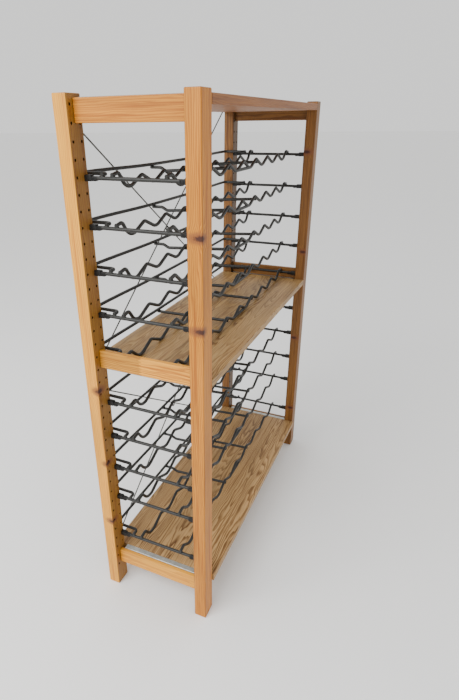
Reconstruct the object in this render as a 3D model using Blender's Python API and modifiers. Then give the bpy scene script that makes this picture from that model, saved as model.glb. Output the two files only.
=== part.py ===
"""Wine rack: a pine shelving bay with three shelves, ten wire bottle racks and a rod-braced back.

Metres, +Z up. X runs along the bay, Y from front to back, and the origin is on the floor under the
middle of the whole object. A piece on the -X side is "left", and one on the -Y side is "front".
"""

import math

import bmesh
import bpy
from mathutils import Matrix, Vector

MM = 0.001

# Overall sizes of the timber frame, over the posts.
LENGTH = 890 * MM
DEPTH = 300 * MM
HEIGHT = 1240 * MM

# Fits.
GAP = 0.3 * MM
SHOULDER_GAP = 0.5 * MM

# Ladder ends.
POST_X = 44 * MM
POST_Y = 32 * MM
POST_EDGE = 2 * MM
RUNG_THICK = 11 * MM
RUNG_HEIGHT = 43 * MM
RUNG_EDGE = 1.5 * MM
TOP_RUNG_DROP = 8 * MM
BOTTOM_RUNG_RISE = 70 * MM
MIDDLE_RUNG_ABOVE_ROW = 24 * MM
TENON_SHOULDER = 2 * MM
TENON_HEIGHT = 28 * MM
TENON_LENGTH = 14 * MM

# Rows of peg holes in the posts' facing sides, counted from 1 at the top.
HOLE_PITCH = 32 * MM
FIRST_HOLE_DROP = 18.7 * MM
LAST_HOLE_RISE = 60 * MM
HOLE_R = 2.8 * MM
HOLE_DEPTH = 15 * MM
HOLE_SIDES = 6
OUTER_COLUMN_INSET = 9.5 * MM
INNER_COLUMN_INSET = 8.5 * MM

# Shelves, with a steel profile round the tongue at each end.
SHELF_THICK = 18 * MM
SHELF_EDGE = 1.5 * MM
SHELF_ABOVE_ROW = 12 * MM
TONGUE_REACH = 14 * MM
TONGUE_SIDE_GAP = 5 * MM
RUNG_TO_TONGUE = 1 * MM
BOTTOM_SHELF_FORWARD = 4.5 * MM
PROFILE_THICK = 1.2 * MM
PIN_R = 2.5 * MM
PIN_SIDES = 8
PIN_IN_POST = 14 * MM
PIN_REACH = 12 * MM
SLOT_CLEARANCE = 0.4 * MM

# Bottle racks.
WIRE_R = 4 * MM
BAR_BELOW_ROW = 2 * MM
WIRE_SIDES = 6
PEG_R = 2.5 * MM
PEG_LENGTH = 10 * MM
WELD_SINK = 0.9 * MM
BOTTLES_ACROSS = 8
RACKS_PER_BAY = 5
LAST_BEND_TO_BAR = 9.5 * MM
TIP_OVERHANG = 4 * MM
FRONT_WAVE_FROM_POST = 54 * MM
BACK_WAVE_FROM_POST = 63.5 * MM
FRONT_PEAK = 3 * MM
BACK_PEAK = -4.2 * MM
WAVE_DROP = 17.2 * MM
TROUGH_HALF_WIDTH = 13 * MM
TIP_FLAT = 24 * MM
CROSS_WIRE_OVERRUN = 4 * MM
CROSS_STEP_FOOT = 42 * MM
CROSS_STEP_HEAD = 21 * MM
BACK_WIRE_INSET = 7 * MM
BACK_ARM_FROM_POST = 9 * MM
BACK_ARM_TURN = 39 * MM
BACK_WIRE_SAG = 4.5 * MM
BEND_R = 9 * MM
BEND_STEPS = 2
SADDLE_X = 12 * MM
SADDLE_Y = 16 * MM
SADDLE_ABOVE = 4 * MM
SADDLE_BELOW = 8 * MM

# Back bracing.
ROD_R = 1.8 * MM
RING_R = 8 * MM
RING_HOLE_R = 3 * MM
RING_THICK = 1.4 * MM
EYE_R = 5.5 * MM
EYE_THICK = 2.4 * MM
EYE_HOLE_R = 2.3 * MM
EYE_SIDES = 12
ROD_START = 3.8 * MM
LAYER_BEND = 20 * MM
SCREW_R = 1.9 * MM
SCREW_IN_POST = 14 * MM
SCREW_HEAD_R = 4.2 * MM
SCREW_HEAD_THICK = 2.6 * MM
PILOT_R = 2.2 * MM
PILOT_DEPTH = 15 * MM
FALLING_HEAD_DROP = 28 * MM
RISING_HEAD_DROP = 15 * MM
BRACE_FOOT_RISE = 64 * MM
UPPER_FALLING_BELOW_MIDDLE = 68 * MM
UPPER_RISING_BELOW_MIDDLE = 51 * MM
LOWER_FALLING_BELOW_MIDDLE = 63 * MM
LOWER_RISING_BELOW_MIDDLE = 31 * MM

# Meshing: points closer than this are one, so that a wire's caps meet its sides.
WELD_DISTANCE = 0.02 * MM
SHARP_ANGLE = 40

# Worked out.
WIRE_LIFT = 2 * WIRE_R - WELD_SINK
INNER_X = LENGTH / 2 - POST_X
INNER_Y = DEPTH / 2 - POST_Y
POST_CENTRE_X = LENGTH / 2 - POST_X / 2
POST_CENTRE_Y = DEPTH / 2 - POST_Y / 2
PEG_X = INNER_X + INNER_COLUMN_INSET
TONGUE_END_X = INNER_X + TONGUE_REACH
TONGUE_HALF_Y = INNER_Y - TONGUE_SIDE_GAP
RUNG_X = TONGUE_END_X + RUNG_TO_TONGUE + RUNG_THICK / 2
BOTTLE_PITCH = (PEG_X - LAST_BEND_TO_BAR) * 2 / BOTTLES_ACROSS
ROD_LAYER_1 = DEPTH / 2 + GAP + ROD_R
ROD_LAYER_2 = ROD_LAYER_1 + 2 * ROD_R + 2 * GAP + RING_THICK
FRAME_Y = (BOTTOM_SHELF_FORWARD - (ROD_LAYER_2 + ROD_R - DEPTH / 2)) / 2
ROW_COUNT = int((HEIGHT - FIRST_HOLE_DROP - LAST_HOLE_RISE) / HOLE_PITCH) + 1
TOP_ROW = 1
BOTTOM_ROW = ROW_COUNT - 1
MIDDLE_ROW = (TOP_ROW + BOTTOM_ROW) // 2


def row_z(row):
    """Height of a row of peg holes."""
    return HEIGHT - FIRST_HOLE_DROP - HOLE_PITCH * (row - 1)


SHELF_ROWS = {"top": TOP_ROW, "middle": MIDDLE_ROW, "bottom": BOTTOM_ROW}
RUNG_HEIGHTS = {
    "top": HEIGHT - TOP_RUNG_DROP - RUNG_HEIGHT / 2,
    "middle": row_z(MIDDLE_ROW) + MIDDLE_RUNG_ABOVE_ROW,
    "bottom": BOTTOM_RUNG_RISE + RUNG_HEIGHT / 2,
}
SIDES_X = {"left": -1, "right": 1}
SIDES_Y = {"front": -1, "back": 1}


def clear_scene():
    for obj in list(bpy.data.objects):
        bpy.data.objects.remove(obj, do_unlink=True)


def new_collection(name, hidden=False):
    collection = bpy.data.collections.new(name)
    collection.hide_render = hidden
    bpy.context.scene.collection.children.link(collection)
    return collection


def new_material(name, colour, roughness, metallic=0.0):
    material = bpy.data.materials.new(name)
    material.use_nodes = True
    shader = material.node_tree.nodes["Principled BSDF"]
    shader.inputs["Base Color"].default_value = (*colour, 1.0)
    shader.inputs["Roughness"].default_value = roughness
    shader.inputs["Metallic"].default_value = metallic
    material.diffuse_color = (*colour, 1.0)
    return material


clear_scene()
PARTS = new_collection("wine_rack")
CUTTERS = new_collection("cutters", hidden=True)
FRAME = bpy.data.objects.new("frame_centre", None)
FRAME.location = (0, FRAME_Y, 0)
PARTS.objects.link(FRAME)

PINE = new_material("pine", (0.62, 0.36, 0.15), 0.45)
PINE_SHELF = new_material("pine_shelf", (0.55, 0.36, 0.18), 0.5)
ZINC = new_material("zinc_steel", (0.45, 0.47, 0.46), 0.4, 0.9)
COATED_WIRE = new_material("coated_wire", (0.045, 0.045, 0.04), 0.45)
BRACE_STEEL = new_material("brace_steel", (0.3, 0.3, 0.3), 0.4, 0.9)


def place(name, mesh, material, location=(0, 0, 0), turn=0):
    """A visible part, at a location in the frame's own coordinates, turned about its own Z."""
    obj = bpy.data.objects.new(name, mesh)
    obj.parent = FRAME
    obj.location = location
    obj.rotation_euler = (0, 0, turn)
    if not obj.data.materials:
        obj.data.materials.append(material)
    PARTS.objects.link(obj)
    return obj


def helper(name, mesh, location=(0, 0, 0), parent=None):
    """A hidden shape that cuts or joins another."""
    obj = bpy.data.objects.new(name, mesh)
    obj.parent = parent
    obj.location = location
    obj.hide_render = True
    obj.display_type = "WIRE"
    CUTTERS.objects.link(obj)
    return obj


def mesh_from(name, bm):
    mesh = bpy.data.meshes.new(name)
    bmesh.ops.recalc_face_normals(bm, faces=bm.faces)
    bm.to_mesh(mesh)
    bm.free()
    return mesh


def add_box(bm, low, high):
    """A box between two corners."""
    low = Vector(low)
    high = Vector(high)
    matrix = Matrix.Translation((low + high) / 2) @ Matrix.Diagonal((*(high - low), 1.0))
    bmesh.ops.create_cube(bm, size=1.0, matrix=matrix)


def box_mesh(name, low, high):
    bm = bmesh.new()
    add_box(bm, low, high)
    return mesh_from(name, bm)


def add_rod(bm, start, end, radius, sides):
    """A straight round bar between two points."""
    start = Vector(start)
    end = Vector(end)
    turn = (end - start).to_track_quat("Z", "Y").to_matrix().to_4x4()
    bmesh.ops.create_cone(
        bm,
        cap_ends=True,
        segments=sides,
        radius1=radius,
        radius2=radius,
        depth=(end - start).length,
        matrix=Matrix.Translation((start + end) / 2) @ turn,
    )


def round_out(radius, sides):
    """The corner radius of a many-sided hole whose flats stand at the given radius."""
    return radius / math.cos(math.pi / sides)


def boolean(obj, other, operation="DIFFERENCE"):
    modifier = obj.modifiers.new(other.name, "BOOLEAN")
    modifier.operation = operation
    modifier.solver = "EXACT"
    modifier.object = other


def ease_edges(obj, width, segments=1):
    modifier = obj.modifiers.new("eased_edges", "BEVEL")
    modifier.width = width
    modifier.segments = segments
    modifier.limit_method = "ANGLE"


def smooth(mesh):
    mesh.shade_smooth()
    mesh.set_sharp_from_angle(angle=math.radians(SHARP_ANGLE))


def evaluated_mesh(obj, name):
    """The mesh that an object's modifiers or bevel make, as a mesh of its own."""
    bpy.context.view_layer.update()
    graph = bpy.context.evaluated_depsgraph_get()
    mesh = bpy.data.meshes.new_from_object(obj.evaluated_get(graph))
    mesh.name = name
    return mesh


def mesh_of_curve(curve):
    """A curve's own shape as one closed mesh, its caps joined to its sides."""
    obj = bpy.data.objects.new(curve.name, curve)
    CUTTERS.objects.link(obj)
    mesh = evaluated_mesh(obj, curve.name)
    bpy.data.objects.remove(obj)
    bm = bmesh.new()
    bm.from_mesh(mesh)
    bmesh.ops.remove_doubles(bm, verts=bm.verts, dist=WELD_DISTANCE)
    bmesh.ops.recalc_face_normals(bm, faces=bm.faces)
    bm.to_mesh(mesh)
    bm.free()
    return mesh


def wire_mesh(name, points, radius):
    """A six-sided wire through the points, closed at both ends."""
    curve = bpy.data.curves.new(name, "CURVE")
    curve.dimensions = "3D"
    curve.bevel_depth = radius
    curve.bevel_resolution = 1
    curve.use_fill_caps = True
    spline = curve.splines.new("POLY")
    spline.points.add(len(points) - 1)
    for control, point in zip(spline.points, points):
        control.co = (*point, 1.0)
    return mesh_of_curve(curve)


def bend(corner, before, after, radius, steps):
    """Points round a bend of the given radius, at a square corner between two directions."""
    corner = Vector(corner)
    before = Vector(before)
    after = Vector(after)
    centre = corner + (before + after) * radius
    angles = [math.pi / 2 * step / steps for step in range(steps + 1)]
    return [centre - after * radius * math.cos(a) - before * radius * math.sin(a) for a in angles]


def brace_ends():
    """For each brace rod: its layer, and the heights of its ends on the left and the right post."""
    middle = row_z(MIDDLE_ROW)
    falling_head = HEIGHT - FALLING_HEAD_DROP
    rising_head = HEIGHT - RISING_HEAD_DROP
    foot = BRACE_FOOT_RISE
    return {
        "upper_falling": (ROD_LAYER_1, falling_head, middle - UPPER_FALLING_BELOW_MIDDLE),
        "upper_rising": (ROD_LAYER_2, middle - UPPER_RISING_BELOW_MIDDLE, rising_head),
        "lower_falling": (ROD_LAYER_1, middle - LOWER_FALLING_BELOW_MIDDLE, foot),
        "lower_rising": (ROD_LAYER_2, foot, middle - LOWER_RISING_BELOW_MIDDLE),
    }


def make_posts():
    """Four posts with peg holes, rung mortises and, at the back, pilot holes for the brace screws."""
    half_x = POST_X / 2
    half_y = POST_Y / 2
    for side_y, sign_y in SIDES_Y.items():
        for side_x, sign_x in SIDES_X.items():
            name = f"post_{side_y}_{side_x}"
            post = place(
                name,
                box_mesh(name, (-half_x, -half_y, 0), (half_x, half_y, HEIGHT)),
                PINE,
                (sign_x * POST_CENTRE_X, sign_y * POST_CENTRE_Y, 0),
            )
            ease_edges(post, POST_EDGE)
            cuts = bmesh.new()
            cut_peg_holes(cuts, sign_x, sign_y)
            cut_mortises(cuts, sign_x, sign_y)
            if side_y == "back":
                cut_pilot_holes(cuts, side_x)
            boolean(post, helper(f"{name}_cuts", mesh_from(f"{name}_cuts", cuts), parent=post))


def cut_peg_holes(cuts, sign_x, sign_y):
    """Both columns of blind holes in the side that faces the other post of the ladder."""
    inner_face = -sign_y * POST_Y / 2
    inner_column = -sign_x * (POST_X / 2 - INNER_COLUMN_INSET)
    outer_column = sign_x * (POST_X / 2 - OUTER_COLUMN_INSET)
    for row in range(1, ROW_COUNT + 1):
        for x in (inner_column, outer_column):
            add_rod(
                cuts,
                (x, inner_face - sign_y * HOLE_R, row_z(row)),
                (x, inner_face + sign_y * HOLE_DEPTH, row_z(row)),
                round_out(HOLE_R, HOLE_SIDES),
                HOLE_SIDES,
            )


def cut_mortises(cuts, sign_x, sign_y):
    """A pocket for each rung's tenon."""
    inner_face = -sign_y * POST_Y / 2
    centre = sign_x * (RUNG_X - POST_CENTRE_X)
    half_thick = RUNG_THICK / 2 - TENON_SHOULDER + GAP
    half_high = TENON_HEIGHT / 2 + GAP
    mouth = inner_face - sign_y * TENON_SHOULDER
    floor = inner_face + sign_y * (TENON_LENGTH + GAP)
    for height in RUNG_HEIGHTS.values():
        low = (centre - half_thick, min(mouth, floor), height - half_high)
        high = (centre + half_thick, max(mouth, floor), height + half_high)
        add_box(cuts, low, high)


def cut_pilot_holes(cuts, side_x):
    """A hole in the back face for each brace screw."""
    for _, left_z, right_z in brace_ends().values():
        height = left_z if side_x == "left" else right_z
        add_rod(
            cuts,
            (0, POST_Y / 2 + PILOT_R, height),
            (0, POST_Y / 2 - PILOT_DEPTH, height),
            round_out(PILOT_R, HOLE_SIDES),
            HOLE_SIDES,
        )


def make_rungs():
    """Six rungs with a tenon at each end."""
    half_y = INNER_Y - GAP
    half_thick = RUNG_THICK / 2
    half_high = RUNG_HEIGHT / 2
    body = box_mesh("rung", (-half_thick, -half_y, -half_high), (half_thick, half_y, half_high))
    tenon_x = half_thick - TENON_SHOULDER
    tenon_y = INNER_Y + TENON_LENGTH
    tenon_z = TENON_HEIGHT / 2
    tenons = box_mesh("rung_tenons", (-tenon_x, -tenon_y, -tenon_z), (tenon_x, tenon_y, tenon_z))
    shape = helper("rung_shape", body)
    ease_edges(shape, RUNG_EDGE)
    boolean(shape, helper("rung_tenon_bar", tenons), "UNION")
    mesh = evaluated_mesh(shape, "rung")
    for level, height in RUNG_HEIGHTS.items():
        for side_x, sign_x in SIDES_X.items():
            place(f"rung_{level}_{side_x}", mesh, PINE, (sign_x * RUNG_X, 0, height))


def shelf_location(level):
    """Middle of a shelf's top face. The lowest one stands a little forward of the posts."""
    forward = BOTTOM_SHELF_FORWARD if level == "bottom" else 0
    return Vector((0, -forward, row_z(SHELF_ROWS[level]) + SHELF_ABOVE_ROW))


def add_pin_slots(cuts, sign_x):
    """Slots, open below, that drop over the two shelf pins at one end."""
    ceiling = PIN_R + GAP - SHELF_ABOVE_ROW
    half = PIN_R + SLOT_CLEARANCE
    slot_end = INNER_Y - PIN_REACH - SLOT_CLEARANCE - BOTTOM_SHELF_FORWARD
    for sign_y in SIDES_Y.values():
        ends = sorted((sign_y * slot_end, sign_y * INNER_Y))
        low = (sign_x * PEG_X - half, ends[0], -SHELF_THICK - SHELF_EDGE)
        high = (sign_x * PEG_X + half, ends[1], ceiling)
        add_box(cuts, low, high)


def make_shelves():
    """Three boards with a tongue at each end that lies between the posts."""
    core_end = TONGUE_END_X - PROFILE_THICK - GAP
    blank = box_mesh("shelf_board", (-core_end, -DEPTH / 2, -SHELF_THICK), (core_end, DEPTH / 2, 0))
    board = helper("shelf_board", blank)
    ease_edges(board, SHELF_EDGE)
    notches = bmesh.new()
    rebates = bmesh.new()
    slots = bmesh.new()
    for sign_x in SIDES_X.values():
        cut_notches(notches, sign_x)
        cut_rebates(rebates, sign_x)
        add_pin_slots(slots, sign_x)
    for name, cuts in (("notches", notches), ("rebates", rebates), ("pin_slots", slots)):
        boolean(board, helper(f"shelf_{name}", mesh_from(f"shelf_{name}", cuts)))
    mesh = evaluated_mesh(board, "shelf")
    for level in SHELF_ROWS:
        place(f"shelf_{level}", mesh, PINE_SHELF, shelf_location(level))


def cut_notches(cuts, sign_x):
    """The two corners that make room for the posts at one end of a shelf."""
    ends = sorted((sign_x * (INNER_X - SHOULDER_GAP), sign_x * LENGTH))
    for sign_y in SIDES_Y.values():
        sides = sorted((sign_y * TONGUE_HALF_Y, sign_y * DEPTH))
        add_box(cuts, (ends[0], sides[0], -DEPTH), (ends[1], sides[1], DEPTH))


def cut_rebates(cuts, sign_x):
    """The layers above and below a tongue that the steel profile takes up."""
    ends = sorted((sign_x * (INNER_X - SHOULDER_GAP), sign_x * LENGTH))
    rebate = PROFILE_THICK + GAP
    add_box(cuts, (ends[0], -DEPTH, -rebate), (ends[1], DEPTH, DEPTH))
    add_box(cuts, (ends[0], -DEPTH, -DEPTH), (ends[1], DEPTH, rebate - SHELF_THICK))


def make_profiles():
    """A channel of folded steel round each shelf tongue, slotted for the pins."""
    inner = INNER_X
    for side_x, sign_x in SIDES_X.items():
        outline = [
            (inner, 0),
            (TONGUE_END_X, 0),
            (TONGUE_END_X, -SHELF_THICK),
            (inner, -SHELF_THICK),
            (inner, PROFILE_THICK - SHELF_THICK),
            (TONGUE_END_X - PROFILE_THICK, PROFILE_THICK - SHELF_THICK),
            (TONGUE_END_X - PROFILE_THICK, -PROFILE_THICK),
            (inner, -PROFILE_THICK),
        ]
        channel = helper(f"profile_{side_x}", extruded_mesh("profile", outline, TONGUE_HALF_Y, sign_x))
        cuts = bmesh.new()
        add_pin_slots(cuts, sign_x)
        boolean(channel, helper(f"profile_slots_{side_x}", mesh_from("profile_slots", cuts)))
        mesh = evaluated_mesh(channel, f"profile_{side_x}")
        for level in SHELF_ROWS:
            place(f"shelf_end_profile_{level}_{side_x}", mesh, ZINC, shelf_location(level))


def extruded_mesh(name, outline, half_length, sign_x):
    """A closed outline in X and Z, drawn out to both sides along Y."""
    curve = bpy.data.curves.new(name, "CURVE")
    curve.dimensions = "2D"
    curve.fill_mode = "BOTH"
    curve.extrude = half_length
    spline = curve.splines.new("POLY")
    spline.points.add(len(outline) - 1)
    for control, (x, z) in zip(spline.points, outline):
        control.co = (sign_x * x, z, 0, 1)
    spline.use_cyclic_u = True
    mesh = mesh_of_curve(curve)
    mesh.transform(Matrix.Rotation(math.pi / 2, 4, "X"))
    return mesh


def make_shelf_pins():
    """Twelve plain pins that stand out of the posts and carry the shelves."""
    bm = bmesh.new()
    add_rod(bm, (0, -PIN_REACH, 0), (0, PIN_IN_POST, 0), PIN_R, PIN_SIDES)
    mesh = mesh_from("shelf_pin", bm)
    smooth(mesh)
    for level, row in SHELF_ROWS.items():
        for side_y, sign_y in SIDES_Y.items():
            for side_x, sign_x in SIDES_X.items():
                place(
                    f"shelf_pin_{level}_{side_y}_{side_x}",
                    mesh,
                    ZINC,
                    (sign_x * PEG_X, sign_y * INNER_Y, row_z(row)),
                    0 if sign_y > 0 else math.pi,
                )


def wave_points(y, peak):
    """A wave wire: a trough for each bottle, and a flat tip lying on the bar at each end."""
    tip_z = WIRE_LIFT - BAR_BELOW_ROW
    tip_x = PEG_X + TIP_OVERHANG
    trough = peak - WAVE_DROP
    points = [Vector((-tip_x, y, tip_z)), Vector((-PEG_X + TIP_FLAT, y, tip_z))]
    for bottle in range(BOTTLES_ACROSS):
        centre = (bottle - (BOTTLES_ACROSS - 1) / 2) * BOTTLE_PITCH
        if bottle > 0:
            points.append(Vector((centre - BOTTLE_PITCH / 2, y, peak)))
        points.append(Vector((centre - TROUGH_HALF_WIDTH, y, trough)))
        points.append(Vector((centre + TROUGH_HALF_WIDTH, y, trough)))
    points += [Vector((PEG_X - TIP_FLAT, y, tip_z)), Vector((tip_x, y, tip_z))]
    return points


def bar_mesh():
    """An end bar along Y, held a little below the pegs by a saddle at each end."""
    saddle = INNER_Y - GAP - SADDLE_Y / 2
    bm = bmesh.new()
    add_rod(bm, (0, -saddle, -BAR_BELOW_ROW), (0, saddle, -BAR_BELOW_ROW), WIRE_R, WIRE_SIDES)
    bar = helper("rack_bar", mesh_from("rack_bar", bm))
    for sign_y in SIDES_Y.values():
        ends = sorted((sign_y * (INNER_Y - GAP), sign_y * (INNER_Y - GAP - SADDLE_Y)))
        low = (-SADDLE_X / 2, ends[0], -SADDLE_BELOW)
        high = (SADDLE_X / 2, ends[1], SADDLE_ABOVE)
        boolean(bar, helper("rack_saddle", box_mesh("rack_saddle", low, high)), "UNION")
        bm = bmesh.new()
        add_rod(bm, (0, sign_y * saddle, 0), (0, sign_y * (INNER_Y + PEG_LENGTH), 0), PEG_R, WIRE_SIDES)
        boolean(bar, helper("rack_peg", mesh_from("rack_peg", bm)), "UNION")
    return evaluated_mesh(bar, "rack_bar")


def back_wire_points():
    """The wire behind the bottles, which sags a little. Its ends turn forward and out to the bars."""
    back = DEPTH / 2 - BACK_WIRE_INSET
    turn = INNER_Y - BACK_ARM_TURN
    arm = INNER_X - BACK_ARM_FROM_POST
    height = WIRE_LIFT - BAR_BELOW_ROW
    end = PEG_X + WIRE_R / 2
    right = [Vector((end, turn, height))]
    right += bend((arm, turn, height), (1, 0, 0), (0, 1, 0), BEND_R, BEND_STEPS)
    right += bend((arm, back, height), (0, -1, 0), (-1, 0, 0), BEND_R, BEND_STEPS)
    right.append(Vector((BOTTLE_PITCH, back, height - BACK_WIRE_SAG)))
    left = [Vector((-point.x, point.y, point.z)) for point in reversed(right)]
    return right + left


def cross_wire_points(x, front_y, back_y, back_peak):
    """A wire across the rack, under a peak of each wave and under the back wire."""
    back = DEPTH / 2 - BACK_WIRE_INSET
    front_z = FRONT_PEAK - WIRE_LIFT
    head_z = -BAR_BELOW_ROW - BACK_WIRE_SAG
    slope = (back_peak - FRONT_PEAK) / (back_y - front_y)
    foot_y = back - CROSS_STEP_FOOT
    return [
        Vector((x, front_y - CROSS_WIRE_OVERRUN, front_z - slope * CROSS_WIRE_OVERRUN)),
        Vector((x, foot_y, front_z + slope * (foot_y - front_y))),
        Vector((x, back - CROSS_STEP_HEAD, head_z)),
        Vector((x, back + CROSS_WIRE_OVERRUN, head_z)),
    ]


def rack_mesh(back_peak):
    """One bottle rack, its wires welded into one body, with a saddle where each bar meets a post."""
    front_y = -INNER_Y + FRONT_WAVE_FROM_POST
    back_y = INNER_Y - BACK_WAVE_FROM_POST
    rack = helper("rack_left_bar", bar_mesh(), (-PEG_X, 0, 0))
    others = [helper("rack_right_bar", bar_mesh(), (PEG_X, 0, 0))]
    for side_y, y, peak in (("front", front_y, FRONT_PEAK), ("back", back_y, back_peak)):
        wave = wire_mesh(f"{side_y}_wave", wave_points(y, peak), WIRE_R)
        others.append(helper(f"rack_{side_y}_wave", wave))
    others.append(helper("rack_back_wire", wire_mesh("back_wire", back_wire_points(), WIRE_R)))
    for x in (-BOTTLE_PITCH, BOTTLE_PITCH):
        points = cross_wire_points(x, front_y, back_y, back_peak)
        others.append(helper("rack_cross_wire", wire_mesh("cross_wire", points, WIRE_R)))
    for other in others:
        boolean(rack, other, "UNION")
    mesh = evaluated_mesh(rack, "bottle_rack")
    mesh.transform(Matrix.Translation(rack.location))
    smooth(mesh)
    return mesh


def rack_rows():
    """Peg rows of the racks: five in each bay, spread evenly and rounded down to a hole."""
    spans = (
        (TOP_ROW + 4, MIDDLE_ROW - 1),
        (MIDDLE_ROW + 3, BOTTOM_ROW - 2),
    )
    rows = []
    for first, last in spans:
        step = (last - first) / (RACKS_PER_BAY - 1)
        rows += [int(first + step * index) for index in range(RACKS_PER_BAY)]
    return rows


def make_racks():
    """Ten racks. The troughs of the one in the row above the middle shelf rest just clear of it."""
    hanging = rack_mesh(BACK_PEAK)
    lifted = rack_mesh(max(BACK_PEAK, SHELF_ABOVE_ROW - HOLE_PITCH + GAP + WIRE_R + WAVE_DROP))
    for number, row in enumerate(rack_rows(), start=1):
        mesh = lifted if row == MIDDLE_ROW - 1 else hanging
        place(f"bottle_rack_{number:02d}", mesh, COATED_WIRE, (0, 0, row_z(row)))


def brace_point(layer, sign_x, left_z, right_z, along):
    """A point on a brace rod, at a distance from its eye at the given side."""
    start = Vector((sign_x * POST_CENTRE_X, layer, left_z if sign_x < 0 else right_z))
    end = Vector((-sign_x * POST_CENTRE_X, layer, right_z if sign_x < 0 else left_z))
    return start + (end - start).normalized() * along


def make_brace_rods():
    """Four rods with an eye at each end. Those of the outer layer bend in to the posts."""
    for name, (layer, left_z, right_z) in brace_ends().items():
        points = [
            brace_point(ROD_LAYER_1, -1, left_z, right_z, ROD_START),
            brace_point(layer, -1, left_z, right_z, LAYER_BEND),
            brace_point(layer, 1, left_z, right_z, LAYER_BEND),
            brace_point(ROD_LAYER_1, 1, left_z, right_z, ROD_START),
        ]
        rod = helper(f"brace_{name}_shape", wire_mesh(f"brace_{name}", points, ROD_R))
        eyes = bmesh.new()
        holes = bmesh.new()
        face = DEPTH / 2 + GAP
        for sign_x, height in ((-1, left_z), (1, right_z)):
            x = sign_x * POST_CENTRE_X
            add_rod(eyes, (x, face, height), (x, face + EYE_THICK, height), EYE_R, EYE_SIDES)
            add_rod(
                holes,
                (x, face - EYE_THICK, height),
                (x, face + 2 * EYE_THICK, height),
                round_out(EYE_HOLE_R, EYE_SIDES),
                EYE_SIDES,
            )
        boolean(rod, helper(f"brace_{name}_eyes", mesh_from("eyes", eyes)), "UNION")
        boolean(rod, helper(f"brace_{name}_holes", mesh_from("holes", holes)))
        mesh = evaluated_mesh(rod, f"brace_rod_{name}")
        smooth(mesh)
        place(f"brace_rod_{name}", mesh, BRACE_STEEL)


def crossing(falling, rising):
    """Where a falling and a rising rod cross, seen from behind."""
    _, fall_left, fall_right = falling
    _, rise_left, rise_right = rising
    share = (fall_left - rise_left) / ((fall_left - rise_left) + (rise_right - fall_right))
    x = POST_CENTRE_X * (2 * share - 1)
    return x, fall_left + (fall_right - fall_left) * share


def make_brace_rings():
    """A ring between the two rods of each cross, where they meet."""
    middle_y = (ROD_LAYER_1 + ROD_LAYER_2) / 2
    bm = bmesh.new()
    add_rod(bm, (0, -RING_THICK / 2, 0), (0, RING_THICK / 2, 0), RING_R, EYE_SIDES)
    ring = helper("brace_ring_shape", mesh_from("brace_ring", bm))
    hole = bmesh.new()
    add_rod(hole, (0, -RING_THICK, 0), (0, RING_THICK, 0), RING_HOLE_R, EYE_SIDES)
    boolean(ring, helper("brace_ring_hole", mesh_from("brace_ring_hole", hole)))
    mesh = evaluated_mesh(ring, "brace_ring")
    smooth(mesh)
    ends = brace_ends()
    for level in ("upper", "lower"):
        x, z = crossing(ends[f"{level}_falling"], ends[f"{level}_rising"])
        place(f"brace_ring_{level}", mesh, BRACE_STEEL, (x, middle_y, z))


def make_brace_screws():
    """A screw through each eye into the back face of a post."""
    bm = bmesh.new()
    seat = 2 * ROD_R + 2 * GAP
    add_rod(bm, (0, seat, 0), (0, seat + SCREW_HEAD_THICK, 0), SCREW_HEAD_R, EYE_SIDES)
    head = helper("brace_screw_head", mesh_from("brace_screw_head", bm))
    shank = bmesh.new()
    add_rod(shank, (0, -SCREW_IN_POST, 0), (0, seat + SCREW_HEAD_THICK / 2, 0), SCREW_R, PIN_SIDES)
    boolean(head, helper("brace_screw_shank", mesh_from("brace_screw_shank", shank)), "UNION")
    mesh = evaluated_mesh(head, "brace_screw")
    smooth(mesh)
    for name, (_, left_z, right_z) in brace_ends().items():
        for side_x, sign_x, height in (("left", -1, left_z), ("right", 1, right_z)):
            place(
                f"brace_screw_{name}_{side_x}",
                mesh,
                ZINC,
                (sign_x * POST_CENTRE_X, DEPTH / 2, height),
            )


make_posts()
make_rungs()
make_shelves()
make_profiles()
make_shelf_pins()
make_racks()
make_brace_rods()
make_brace_rings()
make_brace_screws()
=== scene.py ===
"""Looks of the wine rack: lacquered pine, charcoal wire racks in black clips, zinc-plated fittings.

Metres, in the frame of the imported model. A piece on the -X side is "left", and one on the -Y side is
"front". Every size below is the real object's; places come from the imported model's nodes.
"""

import math

import bmesh
import bpy
from mathutils import Matrix, Vector


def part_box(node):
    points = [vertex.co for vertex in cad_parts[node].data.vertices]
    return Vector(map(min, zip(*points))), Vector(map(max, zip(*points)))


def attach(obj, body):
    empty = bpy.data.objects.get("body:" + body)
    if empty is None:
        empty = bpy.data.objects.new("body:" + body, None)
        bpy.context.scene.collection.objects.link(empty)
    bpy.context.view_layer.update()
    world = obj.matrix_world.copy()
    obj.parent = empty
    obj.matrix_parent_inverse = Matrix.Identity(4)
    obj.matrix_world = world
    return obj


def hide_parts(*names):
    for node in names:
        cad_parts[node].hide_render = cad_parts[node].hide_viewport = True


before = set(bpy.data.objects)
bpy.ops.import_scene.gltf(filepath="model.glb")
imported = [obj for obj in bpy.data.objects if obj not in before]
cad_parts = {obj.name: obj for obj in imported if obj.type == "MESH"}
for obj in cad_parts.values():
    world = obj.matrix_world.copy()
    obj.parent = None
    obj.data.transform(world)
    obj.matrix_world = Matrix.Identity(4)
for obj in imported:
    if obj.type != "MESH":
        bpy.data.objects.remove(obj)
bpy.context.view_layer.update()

MM = 0.001
LEVELS = ("top", "middle", "bottom")
SIDES_X = {"left": -1, "right": 1}
SIDES_Y = {"front": -1, "back": 1}
RACK_NUMBERS = range(1, 11)
LIFTED_RACK = 5

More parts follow.
